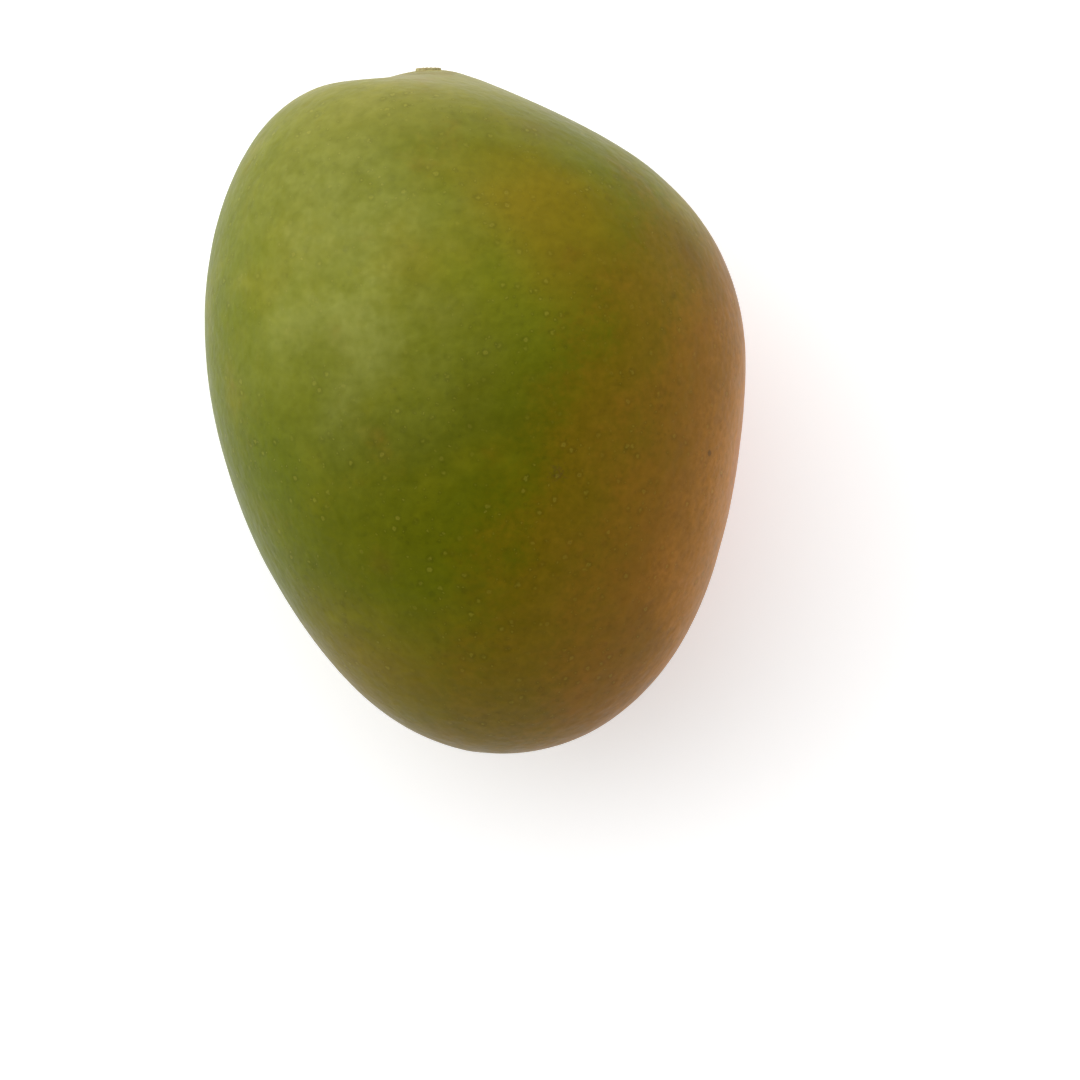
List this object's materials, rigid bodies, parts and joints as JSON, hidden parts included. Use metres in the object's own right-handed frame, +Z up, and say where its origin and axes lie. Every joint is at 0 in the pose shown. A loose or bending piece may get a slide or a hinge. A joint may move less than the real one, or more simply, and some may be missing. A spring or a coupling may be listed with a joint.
{
  "type": "mango",
  "caption": "Whole mango lying on its cheek: plump, slightly lopsided egg shape with a fuller back, a round tip and the cut stub of its stalk in the stem end.",
  "frame": {"origin": "under the middle of the whole fruit's box, on the surface that it rests on", "axes": "+Z up, through the cheeks; +Y towards the stem end, along the fruit; +X towards the full back side, -X towards the belly side"},
  "size_m": [0.0978, 0.1268, 0.0845],
  "materials": {
    "skin": "waxy satin fruit skin, olive green with a brown-orange blush on the back, fine pale dots and a thin bloom",
    "stem_wood": "dry cut stalk, matte and fibrous"
  },
  "bodies": {
    "root": {"fruit": "skin", "stem_stub": "stem_wood"}
  },
  "joints": []
}
